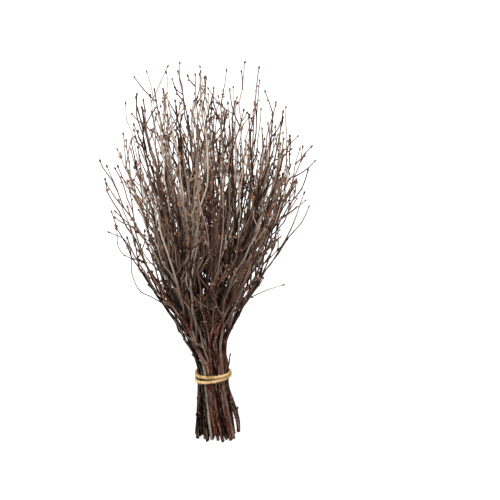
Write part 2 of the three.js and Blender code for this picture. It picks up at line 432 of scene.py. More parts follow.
# Turns curves into round stems whose bark knows its place round and along the stem.
def roundStems(tree, curves, sides):
    lengths = addNode(tree, "GeometryNodeSplineParameter").outputs["Length"]
    curves = store(tree, curves, "along", lengths)
    inputs = {"Resolution": sides, "Radius": 1.0}
    circle = addNode(tree, "GeometryNodeCurvePrimitiveCircle", inputs)
    place = addNode(tree, "GeometryNodeInputPosition").outputs[0]
    profile = store(tree, circle.outputs[0], "profile", place, "FLOAT_VECTOR")
    girth = named(tree, "girth")
    inputs = {"Curve": curves, "Profile Curve": profile, "Scale": girth, "Fill Caps": True}
    tube = addNode(tree, "GeometryNodeCurveToMesh", inputs).outputs[0]

    girth = named(tree, "girth")
    around = vectors(tree, "SCALE", first=named(tree, "profile", "FLOAT_VECTOR"), by=girth)
    upward = addNode(tree, "ShaderNodeCombineXYZ", {"Z": named(tree, "along")}).outputs[0]
    shuffle = vectors(tree, "SCALE", first=(3.7, 1.9, 7.3), by=named(tree, "tone"))
    onStem = vectors(tree, "ADD", first=around, second=upward)
    total = vectors(tree, "ADD", first=onStem, second=shuffle)
    return store(tree, tube, "barkPlace", total, "FLOAT_VECTOR")


# Makes a stem a little thicker and thinner along its length and round it.
def unevenStems(tree, stems, amount):
    inputs = {"Vector": named(tree, "barkPlace", "FLOAT_VECTOR"), "Scale": 210.0, "Detail": 2.0}
    lumps = addNode(tree, "ShaderNodeTexNoise", inputs).outputs[0]
    centred = maths(tree, "SUBTRACT", lumps, 0.5)
    depth = maths(tree, "MULTIPLY", centred, maths(tree, "MULTIPLY", named(tree, "girth"), amount))
    normal = addNode(tree, "GeometryNodeInputNormal").outputs[0]
    return moved(tree, stems, vectors(tree, "SCALE", first=normal, by=depth))


# The slanting cut at a stem's lower end, with a sharp edge.
def slantCuts(tree, stems):
    profile = addNode(tree, "ShaderNodeSeparateXYZ", {0: named(tree, "profile", "FLOAT_VECTOR")})
    slope = maths(tree, "MULTIPLY", named(tree, "girth"), named(tree, "slant"))
    lift = maths(tree, "MULTIPLY", maths(tree, "ADD", profile.outputs["X"], 1.0), slope)
    offset = addNode(tree, "ShaderNodeCombineXYZ", {"Z": lift}).outputs[0]
    stems = moved(tree, stems, offset, isOver(tree, named(tree, "cut")))
    inputs = {
        "Geometry": stems,
        "Selection": isOver(tree, named(tree, "cut")),
        "Shade Smooth": False,
    }
    return addNode(tree, "GeometryNodeSetShadeSmooth", inputs, domain="EDGE").outputs[0]


# A pointed egg, one unit long, with its base at the origin.
def budShape(tree, sides, rings):
    inputs = {"Segments": sides, "Rings": rings, "Radius": 1.0}
    ball = addNode(tree, "GeometryNodeMeshUVSphere", inputs).outputs["Mesh"]
    place = addNode(tree, "GeometryNodeInputPosition").outputs[0]
    parts = addNode(tree, "ShaderNodeSeparateXYZ", {0: place})
    share = maths(tree, "MULTIPLY_ADD", parts.outputs["Z"], 0.5, 0.5)
    narrow = maths(tree, "MULTIPLY_ADD", share, -0.45, 1.2)
    target = addNode(
        tree,
        "ShaderNodeCombineXYZ",
        {
            "X": maths(tree, "MULTIPLY", parts.outputs["X"], narrow),
            "Y": maths(tree, "MULTIPLY", parts.outputs["Y"], narrow),
            "Z": share,
        },
    ).outputs[0]
    inputs = {"Geometry": ball, "Position": target}
    egg = addNode(tree, "GeometryNodeSetPosition", inputs).outputs[0]
    place = addNode(tree, "GeometryNodeInputPosition").outputs[0]
    egg = store(tree, egg, "budPlace", place, "FLOAT_VECTOR")
    return store(tree, egg, "isBud", 1.0)


def finishTree(tree, geometry, groupOut, materials):
    geometry = addNode(tree, "GeometryNodeRealizeInstances", {"Geometry": geometry}).outputs[0]
    for material, selection in materials:
        inputs = {"Geometry": geometry, "Material": material}
        if selection is not None:
            inputs["Selection"] = selection
        geometry = addNode(tree, "GeometryNodeSetMaterial", inputs).outputs[0]
    tree.links.new(geometry, groupOut.inputs[0])


def joined(tree, *parts):
    node = addNode(tree, "GeometryNodeJoinGeometry")
    for part in parts:
        tree.links.new(part, node.inputs[0])
    return node.outputs[0]


def twigTree(materials):
    sizes = {"Sides": 9, "Bud Sides": 7, "Bud Rings": 5, "Unevenness": 0.5}
    tree, groupIn, groupOut = startTree("twigGrowth", sizes)
    source = groupIn.outputs["Geometry"]
    stems = roundStems(tree, asCurves(tree, source), groupIn.outputs["Sides"])
    stems = slantCuts(tree, unevenStems(tree, stems, groupIn.outputs["Unevenness"]))

    egg = budShape(tree, groupIn.outputs["Bud Sides"], groupIn.outputs["Bud Rings"])
    axis = {"Vector": named(tree, "budAxis", "FLOAT_VECTOR")}
    turn = addNode(tree, "FunctionNodeAlignRotationToVector", axis, axis="Z").outputs[0]
    buds = addNode(
        tree,
        "GeometryNodeInstanceOnPoints",
        {
            "Points": source,
            "Selection": named(tree, "bud", "BOOLEAN"),
            "Instance": egg,
            "Rotation": turn,
            "Scale": named(tree, "budSize", "FLOAT_VECTOR"),
        },
    ).outputs[0]
    buds = store(tree, buds, "budTone", named(tree, "tone"), domain="INSTANCE")
    finishTree(tree, joined(tree, stems, buds), groupOut, [
        (materials["bark"], None),
        (materials["cutWood"], isOver(tree, named(tree, "cut"))),
        (materials["bud"], isOver(tree, named(tree, "isBud"))),
    ])
    return tree


# How far each ply stands from the cord's centre line, as it winds round it.
def plyOffset(tree, groupIn, plyIndex):
    lengths = addNode(tree, "GeometryNodeSplineParameter").outputs["Length"]
    turns = maths(tree, "DIVIDE", lengths, groupIn.outputs["Lay"])
    share = maths(tree, "DIVIDE", plyIndex, groupIn.outputs["Plies"])
    angle = maths(tree, "MULTIPLY", maths(tree, "ADD", turns, share), 2 * math.pi)
    normal = addNode(tree, "GeometryNodeInputNormal").outputs[0]
    tangent = addNode(tree, "GeometryNodeInputTangent").outputs[0]
    across = vectors(tree, "CROSS_PRODUCT", first=tangent, second=normal)
    first = vectors(tree, "SCALE", first=normal, by=maths(tree, "COSINE", angle))
    second = vectors(tree, "SCALE", first=across, by=maths(tree, "SINE", angle))
    both = vectors(tree, "ADD", first=first, second=second)
    return vectors(tree, "SCALE", first=both, by=groupIn.outputs["Ply Offset"])


# Twists plies round each line marked as cord, and leaves the other lines as single fibres.
def twineTree(material):
    sizes = {"Plies": 3, "Ply Offset": 0.75 * mm, "Lay": 11.0 * mm, "Sides": 10}
    tree, groupIn, groupOut = startTree("twineTwist", sizes)
    isCord = isOver(tree, named(tree, "ply"), 0.5)
    inputs = {"Geometry": groupIn.outputs["Geometry"], "Selection": isCord}
    split = addNode(tree, "GeometryNodeSeparateGeometry", inputs, domain="POINT")
    cords = asCurves(tree, split.outputs["Selection"])
    inputs = {"Geometry": cords, "Amount": groupIn.outputs["Plies"]}
    copies = addNode(tree, "GeometryNodeDuplicateElements", inputs, domain="SPLINE")
    offset = plyOffset(tree, groupIn, copies.outputs["Duplicate Index"])
    plies = moved(tree, copies.outputs["Geometry"], offset)
    plies = roundStems(tree, plies, groupIn.outputs["Sides"])
    fibres = roundStems(tree, asCurves(tree, split.outputs["Inverted"]), 3)
    finishTree(tree, joined(tree, plies, fibres), groupOut, [(material, None)])
    return tree


# Runs a tree on the wires and keeps the result as a plain mesh.
def grow(wires, tree, name, sizes):
    wire = wires.toObject(name + "_wire")
    modifier = wire.modifiers.new("grow", "NODES")
    modifier.node_group = tree
    for item in tree.interface.items_tree:
        if item.in_out == "INPUT" and item.name in sizes:
            modifier[item.identifier] = sizes[item.name]
    bpy.context.view_layer.update()
    graph = bpy.context.evaluated_depsgraph_get()
    mesh = bpy.data.meshes.new_from_object(
        wire.evaluated_get(graph), preserve_all_data_layers=True, depsgraph=graph
    )
    mesh.name = name
    piece = bpy.data.objects.new(name, mesh)
    bpy.context.scene.collection.objects.link(piece)
    source = wire.data
    bpy.data.objects.remove(wire)
    bpy.data.meshes.remove(source)
    return piece


# The centres and radii of a stem's cross-sections, from its cut end to its tip.
def stemSections(node):
    mesh = frame["nodes"][node].data
    places = np.zeros(len(mesh.vertices) * 3)
    mesh.vertices.foreach_get("co", places)
    places = np.unique(np.round(places.reshape(-1, 3) / mm, 3), axis=0)
    places = places[places[:, 2].argsort()]
    breaks = np.flatnonzero(np.diff(places[:, 2]) > 3.0) + 1
    sections = np.split(places, breaks)
    centres = np.array([s.mean(axis=0) for s in sections])
    radii = np.array([np.linalg.norm(s - c, axis=1).max() for s, c in zip(sections, centres)])
    return centres, radii


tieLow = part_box("twine")[0].z / mm
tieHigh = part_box("twine")[1].z / mm
tieHeight = bundle["tieHeight"]
axisCentres = stemSections("inner_twigs")[0]
twigNodes = sorted(n for n in frame["nodes"] if "_twig_" in n)
routes = {n: stemSections(n) for n in twigNodes}
fanHeight = bundle["topHeight"] - tieHeight
print("frame read:", len(twigNodes), "separate twigs")


def axisAt(height):
    return np.array([np.interp(height, axisCentres[:, 2], axisCentres[:, k]) for k in (0, 1)])


# A point's way out from the bundle's axis, and how far it is within the fan's outline.
def roomAt(point):
    away = (point[:2] - axisAt(point[2])) / (1.0, bundle["fanDepth"])
    distance = np.linalg.norm(away)
    heights, widths = np.array(bundle["outline"], float).T
    return away / max(distance, 1e-6), np.interp(point[2] - tieHeight, heights, widths) - distance


# Draws the lower part of a line in to the fan's outline, with some slack.
def heldIn(path, slack):
    path = path.copy()
    for i in np.flatnonzero(path[:, 2] > tieHigh):
        outward, room = roomAt(path[i])
        ease = smoothStep(path[i, 2], tieHeight + 90, tieHeight + 200)
        path[i, :2] += outward * (1.0, bundle["fanDepth"]) * min(room + slack, 0.0) * (1 - ease)
    return path


# What one twig is made of: its stem, the branches that run beside it, and short spurs.
outerTwigs = {
    "stemSides": 9,
    "step": 6.0,                 # between cross-sections
    "budFaces": (7, 5),          # sides and rings
    "internode": (15.0, 26.0),   # between nodes
    "kink": 1.35,                # how far a node stands out of line, high up in the fan
    "lean": 0.16,                # run over rise by which a twig leaves its packed place
    "wander": 2.1,               # how far it waves to both sides of its way
    "waves": ((21, 58), (19, 53)),  # a short and a long one, side to side and front to back
    "girth": 1.0,
    "leastRadius": 0.8,
    "tipRadius": 0.5,
    "slimming": (0.1, 0.26),     # how much thinner a stem is above the tie and high up
    "slimHeights": (80, 240),    # at these heights above the tie
    "tones": (0.08, 0.42, 0.66, 0.86),  # black, red-brown, brown and grey bark
    "toneShares": (0.26, 0.34, 0.2, 0.2),
    "forkShares": (0.0, 0.2, 0.4, 0.4),  # chances of 0, 1, 2 and 3 branches
    "forkSpread": (12.0, 52.0),  # how far a branch ends from its twig
    "forkWidth": (0.6, 0.85),    # its foot's width over its twig's
    "forkEnd": (0.55, 1.08),     # its height over its twig's
    "forkTones": (0.04, 0.45, 0.85),
    "forkToneShares": (0.3, 0.45, 0.25),
    "forkAge": 0.88,             # its bark is younger than its twig's
    "spurShare": 0.42,           # chances at each node of a spur, a bud and a cluster of buds
    "budShare": 0.26,
    "clusterShare": 0.09,
    "spurLength": (10.0, 46.0),
    "spurWidths": (1.5, 1.1),    # at its foot and tip
    "spurAngles": ((28, 60), (6, 40)),  # from its parent, as it leaves it and further out
    "wiryShare": 0.22,           # chance of a thin shoot at an odd angle
    "wiryLength": (22, 55),
    "wiryWidths": (1.2, 0.9),
    "wiryAngles": ((50, 85), (40, 100)),
    "stubs": 2,
}
innerTwigs = dict(
    outerTwigs,
    stemSides=5,
    step=9.0,
    budFaces=(5, 4),
    lean=0.15,
    stubs=0,
    wiryShare=0.1,
    girth=0.7,
    spurShare=0.3,
)


# A line with a kink and a slight swelling at each of its nodes.
def jointedLine(random, path, radiusAt, habit, kink=1.0):
    total = arcLengths(path)[-1]
    nodes = np.cumsum(random.uniform(*habit["internode"], int(total / habit["internode"][0]) + 2))
    nodes = nodes[nodes < total - 5.0]
    if len(nodes) == 0:
        nodes = np.array([0.6 * total])
    swell = 1.1
    between = np.arange(0.0, total, habit["step"])
    between = between[np.abs(between[:, None] - nodes[None, :]).min(axis=1) > 2.5]
    lengths = np.concatenate([[0.0, total], nodes, nodes - swell, nodes + swell, between])
    lengths = np.unique(lengths.clip(0.0, total))
    lengths = lengths[np.concatenate([[True], np.diff(lengths) > 0.5])]
    lengths[-1] = total
    points = pointsAt(path, lengths)
    turn = random.uniform(0, 2 * math.pi)
    upright = np.array([0, 0, 1.0])
    sideways = np.array([
        (1 if i % 2 else -1) * random.uniform(0.3, 1.6) * acrossFrom(upright, turn + 0.4 * i)
        for i in range(len(nodes))
    ])
    moves = np.vstack([np.zeros(3), sideways * habit["kink"] * kink, np.zeros(3)])
    stops = np.concatenate([[0.0], nodes, [total]])
    kinks = np.stack([np.interp(lengths, stops, moves[:, k]) for k in range(3)], axis=1)
    calm = smoothStep(points[:, 2], tieHigh + 3, tieHigh + 110)[:, None]
    points = points + kinks * calm
    atNode = np.min(np.abs(lengths[:, None] - nodes[None, :]), axis=1) < 0.2
    radii = radiusAt(lengths / total) * np.where(atNode, 1.22, 1.0)
    return points, radii, nodes, lengths


bud = {
    "length": (2.3, 3.6),
    "width": (1.5, 2.1),
    "endLength": (3.4, 4.8),     # of the bud at a shoot's end
    "endWidth": (2.1, 2.9),
    "lean": (20.0, 46.0),        # away from the shoot
    "inCluster": (3, 8),         # how many, the last one left out
    "clusterScale": 1.1,
}


def placeBud(random, wires, point, direction, side, scale=1.0, tone=None):
    lean = math.radians(random.uniform(*bud["lean"]))
    wires.addBud(
        point + side * 0.2,
        unit(direction * math.cos(lean) + side * math.sin(lean)),
        scale * random.uniform(*bud["length"]),
        scale * random.uniform(*bud["width"]),
        random.uniform() if tone is None else tone,
    )


def placeEndBud(random, wires, points):
    direction = unit(points[-1] - points[-2])
    length = random.uniform(*bud["endLength"])
    wires.addBud(
        points[-1] - direction * 0.35 * length,
        direction,
        length,
        random.uniform(*bud["endWidth"]),
        random.uniform() * 0.72,
    )


def placeCluster(random, wires, point, direction, radius):
    turn = random.uniform(0, 2 * math.pi)
    for i in range(int(random.integers(*bud["inCluster"]))):
        side = acrossFrom(direction, turn + i * 1.9)
        start = point + side * radius * 0.6 + direction * random.uniform(-3.2, 3.2)
        tone = random.uniform(0.6, 1.0)
        placeBud(random, wires, start, direction, side, bud["clusterScale"], tone)


# A shoot leaves its parent at an angle and bends towards another angle.
def shootPath(random, start, along, side, length, angles, rise):
    steps = max(4, int(length / 5))
    share = np.linspace(0, 1, steps)
    opening, ending = np.radians(angles)
    theta = ending + (opening - ending) * np.exp(-share * length / 22.0)
    bend = acrossFrom(along, random.uniform(0, 2 * math.pi)) * random.uniform(0.0, 0.2)
    points = [start]
    for i in range(1, steps):
        step = along * math.cos(theta[i]) + side * math.sin(theta[i])
        step = unit(step + bend * share[i] + np.array([0, 0, rise * share[i]]))
        points.append(points[-1] + step * length / (steps - 1))
    return np.array(points)


# The part of a path below the fan's outline and top.
def endedInside(path, slack):
    for i, point in enumerate(path):
        if roomAt(point)[1] + slack < 0 or point[2] > bundle["topHeight"] - 3.0:
            return path[:i]
    return path


def growSpur(random, wires, habit, point, direction, side, tone):
    length = random.uniform(*habit["spurLength"])
    angles = [random.uniform(*a) for a in habit["spurAngles"]]
    path = shootPath(random, point, direction, side, length, angles, 0.15)
    path = endedInside(path, random.normal(2.0, bundle["outlineSpread"]))
    if len(path) > 2 and arcLengths(path)[-1] > 6.0:
        growAlong(random, wires, habit, path, habit["spurWidths"], tone, spurs=False)


# Bark is older and darker low down.
def barkAge(points):
    return np.clip(1.0 - (points[:, 2] - bark["oldBelow"]) / bark["ageing"], 0.1, 1.0)


# Grows a thin shoot with its buds along a path.
def growAlong(random, wires, habit, path, diameters, tone, spurs=True, parentTone=None):
    foot, tip = diameters[0] / 2, diameters[1] / 2
    points, radii, nodes, lengths = jointedLine(
        random, path, lambda share: foot + (tip - foot) * share, habit
    )
    radii[0] *= 1.25
    tones = tone
    if parentTone is not None:
        tones = parentTone + (tone - parentTone) * smoothStep(lengths, 2.0, 40.0)
    wires.addLine(points, radii, tones, habit["forkAge"] * barkAge(points))
    dressNodes(random, wires, habit, points, radii, nodes, lengths, tone, spurs)
    placeEndBud(random, wires, points)


# Spurs, clusters and single buds at the nodes of a stem or branch.
def dressNodes(random, wires, habit, points, radii, nodes, lengths, tone, spurs=True):
    turn = random.uniform(0, 2 * math.pi)
    for i, node in enumerate(nodes):
        place = int(np.abs(lengths - node).argmin())
        above = points[place, 2] - tieHigh
        if above < 45 or place > len(points) - 2:
            continue
        direction = unit(points[place + 1] - points[place])
        side = acrossFrom(direction, turn + i * 2.4 + random.uniform(-0.3, 0.3))
        chance = random.uniform()
        high = smoothStep(above / fanHeight, 0.12, 0.45)
        if spurs and chance < habit["spurShare"] * (0.35 + 0.65 * high):
            shade = np.clip(0.7 * tone + random.uniform(-0.2, 0.15), 0, 1)
            growSpur(random, wires, habit, points[place], direction, side, shade)
        elif chance > 1 - habit["clusterShare"] * high:
            placeCluster(random, wires, points[place], direction, radii[place])
        elif random.uniform() < habit["budShare"] * (0.4 + 0.6 * high):
            placeBud(random, wires, points[place] + side * radii[place] * 0.6, direction, side)


# Short broken or cut side shoots on the bare part of a stem.
def growStubs(random, wires, count, points, radii, tone):
    heights = points[:, 2]
    isFree = (heights < tieLow - 8) | ((heights > tieHigh + 6) & (heights < tieHigh + 90))
    free = np.flatnonzero(isFree)
    free = free[(free > 2) & (free < len(points) - 3)]
    for _ in range(count if len(free) else 0):
        place = int(random.choice(free))
        direction = unit(points[place + 1] - points[place - 1])
        outward = np.array([*(points[place, :2] - axisAt(points[place, 2])), 0.0])
        side = unit(unit(outward) + acrossFrom(direction, random.uniform(0, 6.28)) * 0.9)
        side = unit(side - direction * side.dot(direction))
        heading = unit(direction * 0.8 + side * 0.6)
        length = radii[place] + random.uniform(1.2, 5.5)
        thick = radii[place] * random.uniform(0.38, 0.6)
        line = points[place] + heading * np.linspace(0, length, 4)[:, None]
        wires.addLine(line[::-1], np.full(4, thick), tone, 0.6, cut=True)


# A twig's own way up from its cut end to the top of the fan, past where it ends.
def twigPath(random, habit, centres, tipHeight):
    path = smoothLine(centres)
    path[0, 2] = max(path[0, 2], 0.7)
    foot = path[0, :2] - axisAt(path[0, 2])
    atRight = 1 - smoothStep(abs(math.atan2(foot[1], foot[0])), *bundle["bowAngles"])
    atRight *= smoothStep(np.linalg.norm(foot), *bundle["bowPlaces"])
    below = np.maximum(1 - path[:, 2] / tieLow, 0.0)
    path[:, 0] += bundle["footBow"] * atRight * np.sin(2.6 * below ** 1.7)
    heading = unit(unit(path[-1] - path[-8]) + np.array([0, 0, 0.6]))
    steps = np.arange(5.0, max(bundle["topHeight"] - path[-1, 2], 6.0) / heading[2], 5.0)
    path = np.vstack([path, path[-1] + heading * steps[:, None]])
    run = arcLengths(path)
    rise = smoothStep(path[:, 2], tieHigh + 2, tieHigh + 60)
    phase = random.uniform(0, 2 * math.pi, 4)
    wave = habit["wander"] * random.uniform(0.5, 1.6)
    for k, (short, long) in enumerate(habit["waves"]):
        quick, slow = np.sin(run / short + phase[2 * k]), np.sin(run / long + phase[2 * k + 1])
        path[:, k] += rise * wave * (quick + 2.6 * slow)
    return heldIn(leaned(random, habit, path, tipHeight), 2.0)


# Leans a path to a side that keeps its tip within the fan.
def leaned(random, habit, path, tipHeight):
    above = np.maximum(path[:, 2] - tieHigh - 2, 0.0)
    run = above ** 2 / (above + 14.0)
    tip = int(np.searchsorted(path[:, 2], tipHeight)) - 1
    for _ in range(20):
        aside = random.normal(0.0, habit["lean"], 2)
        shifted = path.copy()
        shifted[:, :2] += run[:, None] * aside
        if min(roomAt(shifted[i])[1] for i in (tip, tip * 3 // 4, tip // 2)) > -4.0:
            break
    return shifted


def cutAt(path, height):
    return path[:max(int(np.searchsorted(path[:, 2], height)), 4)]


# A branch runs up beside its twig, from one of the nodes.
def growBranch(random, wires, habit, path, points, radii, nodes, lengths, tipHeight, tone):
    heights = np.interp(nodes, lengths, points[:, 2])
    lowest, highest = tieHigh + 16, tieHigh + 0.5 * (tipHeight - tieHigh)
    able = np.flatnonzero((heights > lowest) & (heights < highest))
    if len(able) == 0:
        return
    place = int(np.abs(lengths - nodes[random.choice(able)]).argmin())
    start = points[place]
    route = path[path[:, 2] > start[2]]
    run = np.concatenate([[0.0], arcLengths(route) + np.linalg.norm(route[0] - start)])
    route = np.vstack([start, route])
    base = np.array([np.interp(start[2], path[:, 2], path[:, k]) for k in (0, 1)])
    direction = unit(points[place + 1] - start)
    outward = np.array([*(start[:2] - axisAt(start[2])), 0.0])
    around = np.cross(direction, unit(outward)) * random.choice([-1.0, 1.0])
    side = unit(around + unit(outward) * random.uniform(-0.7, 0.3))
    spread = random.uniform(*habit["forkSpread"])
    phase = random.uniform(0, 6.28)
    wave = 2.0 * (np.sin(run / 33.0 + phase) - math.sin(phase))
    opening = spread * (1 - np.exp(-run / 38.0)) + wave
    route = route + side * opening[:, None]
    route[1:, :2] += (start[:2] - base) * np.exp(-run[1:] / 20.0)[:, None]
    tip = tieHigh + (tipHeight - tieHigh) * random.uniform(*habit["forkEnd"])
    route = heldIn(route[route[:, 2] < tip], 2.0)
    route = endedInside(route, random.normal(3.0, bundle["outlineSpread"]))
    if len(route) > 5:
        foot = min(2 * radii[place] * random.uniform(*habit["forkWidth"]), 2.7)
        shade = random.choice(habit["forkTones"], p=habit["forkToneShares"])
        shade = shade + random.normal(0.0, 0.07)
        growAlong(random, wires, habit, route, (max(foot, 1.8), 1.4), shade, parentTone=tone)


def growTwig(random, wires, habit, centres, radii, tipHeight):
    whole = twigPath(random, habit, centres, tipHeight)
    path = cutAt(whole, min(tipHeight, bundle["topHeight"] - 3.0))
    shares = np.interp(centres[:, 2], path[:, 2], arcLengths(path) / arcLengths(path)[-1])
    tone = random.choice(habit["tones"], p=habit["toneShares"])
    tone = tone + random.normal(0.0, 0.06)
    above = centres[:, 2] - tieHigh
    slim = np.interp(above, [0, *habit["slimHeights"]], [0.0, *habit["slimming"]])
    leasts = [habit["leastRadius"], habit["leastRadius"], habit["tipRadius"]]

    def stemRadius(share):
        least = np.interp(share, [0.0, 0.82, 1.0], leasts)
        return np.maximum(np.interp(share, shares, radii * (1 - slim) * habit["girth"]), least)

    points, widths, nodes, lengths = jointedLine(random, path, stemRadius, habit)
    slant = 0.8 * random.uniform() ** 2
    wires.addLine(points, widths, tone, barkAge(points), cut=True, slant=slant)
    growStubs(random, wires, habit["stubs"], points, widths, tone)
    dressNodes(random, wires, habit, points, widths, nodes, lengths, tone)
    placeEndBud(random, wires, points)
    for _ in range(int(random.choice(4, p=habit["forkShares"]))):
        growBranch(random, wires, habit, whole, points, widths, nodes, lengths, tipHeight, tone)
    if random.uniform() < habit["wiryShare"]:
        growWiry(random, wires, habit, points, tone)
    return points, tone


# A thin shoot at an odd angle, in the upper part of a twig.
def growWiry(random, wires, habit, points, tone):
    place = int(random.integers(len(points) * 3 // 5, len(points) - 2))
    direction = unit(points[place + 1] - points[place])
    side = acrossFrom(direction, random.uniform(0, 2 * math.pi))
    angles = [random.uniform(*a) for a in habit["wiryAngles"]]
    length = random.uniform(*habit["wiryLength"])
    path = shootPath(random, points[place], direction, side, length, angles, 0.0)
    path = endedInside(path, 4.0)
    if len(path) > 3:
        growAlong(random, wires, habit, path, habit["wiryWidths"], 0.5 * tone, spurs=False)


# Thin shoots that stick out of the outline: their direction seen from above (0 is right,
# 180 left) and their way, as distances from the axis and heights above the tie.
looseShoots = (
    {"towards": 2, "width": 1.5, "way": ((48, 92), (66, 99), (87, 106))},
    {
        "towards": 180,
        "width": 1.3,
        "way": ((43, 74), (60, 92), (78, 104), (88, 145), (95, 160), (112, 167)),
    },
    {"towards": 183, "width": 1.1, "way": ((84, 124), (92, 141), (104, 172))},
    {"towards": 352, "width": 2.0, "way": ((17, 12), (20.5, 19), (23, 26))},
    {"towards": 100, "width": 1.2, "way": ((62, 120), (76, 132), (90, 150))},
    {"towards": 252, "width": 1.2, "way": ((80, 190), (88, 203), (95, 240))},
)


# A shoot that sticks out of the fan, on the twig that is nearest to its start.
def growLoose(random, wires, habit, shoot, points, tone):
    turn = math.radians(shoot["towards"])
    outward = np.array([math.cos(turn), math.sin(turn), 0.0])
    first = np.argmin(np.abs(points[:, 2] - tieHeight - shoot["way"][0][1] + 6.0))
    way = [points[first]]
    for distance, above in shoot["way"][1:]:
        height = tieHeight + above
        way.append(np.array([*axisAt(height), height]) + outward * distance)
    path = smoothLine(np.array(way))
    widths = (shoot["width"], max(0.9, 0.7 * shoot["width"]))
    growAlong(random, wires, habit, path, widths, tone, spurs=False)


def nearestTwig(shoot):
    distance, above = shoot["way"][0]
    height = tieHeight + above
    turn = math.radians(shoot["towards"])
    start = axisAt(height) + distance * np.array([math.cos(turn), math.sin(turn)])

    def gap(node):
        centres = routes[node][0]
        here = np.array([np.interp(height, centres[:, 2], centres[:, k]) for k in (0, 1)])
        return np.linalg.norm(here - start) + 1e6 * (centres[-1, 2] < height + 10)

    return min(twigNodes, key=gap)


# Just above the tie the twigs lean to the left, and higher up they come back.
def swayed(place):
    above = place[2] - tieHeight
    share = smoothStep(above, *bundle["swayStart"]) * (1 - smoothStep(above, *bundle["swayEnd"]))
    return place - np.array([bundle["sway"] * share, 0.0, 0.0])


def growPiece(wires, tree, name, habit):
    wires.points = [swayed(p) for p in wires.points]
    wires.budPoints = [(swayed(b[0]), *b[1:]) for b in wires.budPoints]
    sides, rings = habit["budFaces"]
    sizes = {"Sides": habit["stemSides"], "Bud Sides": sides, "Bud Rings": rings}
    return grow(wires, tree, name, sizes)


def makeSeparateTwigs(tree):
    pieces = []
    loose = {}
    for shoot in looseShoots:
        loose.setdefault(nearestTwig(shoot), []).append(shoot)
    for index, node in enumerate(twigNodes):
        random = np.random.default_rng(bundle["seed"] * 1000 + index)
        wires = Wires()
        centres, radii = routes[node]
        points, tone = growTwig(random, wires, outerTwigs, centres, radii, centres[-1, 2])
        for shoot in loose.get(node, []):
            growLoose(random, wires, outerTwigs, shoot, points, tone)
        piece = growPiece(wires, tree, "birch_" + node, outerTwigs)
        pieces.append((piece, node))
    return pieces


# The twigs inside the two rings: each follows a twig of a ring, at a share of its distance
# from the axis, which is less at the waist than up in the fan.
innerLayers = (
    {"follows": "middle_twig_", "atWaist": 0.68, "inFan": 0.76},
    {"follows": "outer_twig_", "atWaist": 0.36, "inFan": 0.70},
    {"follows": "middle_twig_", "atWaist": 0.15, "inFan": 0.22},
)


def makeInnerTwigs(tree):
    wires = Wires()
    count = 0
    for layer in innerLayers:
        sources = [n for n in twigNodes if n.startswith(layer["follows"])]
        for node in sources:
            random = np.random.default_rng(bundle["seed"] * 2000 + count)
            count += 1
            centres, radii = routes[node]
            axis = np.array([[*axisAt(c[2]), c[2]] for c in centres])
            opened = smoothStep(centres[:, 2], tieHigh, tieHigh + 55)
            share = layer["atWaist"] + (layer["inFan"] - layer["atWaist"]) * opened
            line = axis + (centres - axis) * (share * random.uniform(0.9, 1.06))[:, None]
            line[0, 2] = line[0, 2] * 0.6 + random.uniform(0.0, 3.0)
            dome = 1.0 - 0.2 * layer["inFan"] ** 2
            tip = tieHeight + fanHeight * dome * (1.0 - 0.22 * random.uniform() ** 1.3)
            growTwig(random, wires, innerTwigs, line, radii, tip)
    return growPiece(wires, tree, "birch_inner_twigs", innerTwigs), count


twine = {
    "waist": (-3.0, 0.0),
    "radius": 19.3,              # of the cord's centre line, pressed into the twigs
    "lift": 2.9,
    "tiltRight": 2.9,            # the ring rises to the right
    "tiltBack": 1.6,             # and to the back
    "sideDrop": 1.4,             # and is lower at both sides
    "gap": 4.9,                  # between the two turns, less at the right
    "gapLess": 1.9,
    "turns": 2.0,
    "plies": 3,
    "plyRadius": 0.92,
    "plyOffset": 0.90,           # from the cord's centre line
    "lay": 12.0,                 # one turn of a ply, along the cord
    "knotScale": 1.35,
    "tailLength": 19.0,
    "fibres": 1100,              # that stand off the cord
    "fibreReach": (2.0, 6.5),
    "fibreRadii": (0.075, 0.04),
    "frays": 40,                 # at the end of each tail
    "frayReach": (1.5, 4.0),
    "frayRadii": (0.12, 0.06),
}


# The cord's centre line, after so many turns from the knot.
def windingPoint(turns):
    angle = math.pi / 2 + 2 * math.pi * turns
    right, back = math.cos(angle), math.sin(angle)
    rise = twine["lift"] + twine["tiltRight"] * right + twine["tiltBack"] * back
    rise -= twine["sideDrop"] * right ** 2
    gap = twine["gap"] - twine["gapLess"] * right
    rise -= gap * (turns - twine["turns"] / 2)
    radius = twine["radius"] + 0.12 * math.sin(7 * angle + turns) + 0.1 * math.sin(13 * angle)
    return np.array([
        twine["waist"][0] + radius * math.cos(angle),
        twine["waist"][1] + radius * math.sin(angle),
        tieHeight + rise,
    ])


# The two turns, the knot and the two tails.
def twineLines():
    wound = np.array([windingPoint(t) for t in np.linspace(0, twine["turns"], 260)])
    centre = windingPoint(twine["turns"] / 2) + np.array([0, 3.2, 0])
    t = np.linspace(0, 2 * math.pi, 60, endpoint=False)
    knot = centre + twine["knotScale"] * np.stack([
        np.sin(t) + 2 * np.sin(2 * t),
        0.95 * np.sin(3 * t) + 0.2,
        np.cos(t) - 2 * np.cos(2 * t),
    ], axis=1)
    tails = []
    for side in (-1, 1):
        share = np.linspace(0, 1, 16)[:, None]
        reach = twine["tailLength"]
        tails.append(centre + np.hstack([
            side * reach * 0.8 * share,
            1.5 + 2.5 * share,
            -reach * (0.05 * share + 0.38 * share ** 2.2),
        ]))
    return wound, knot, tails


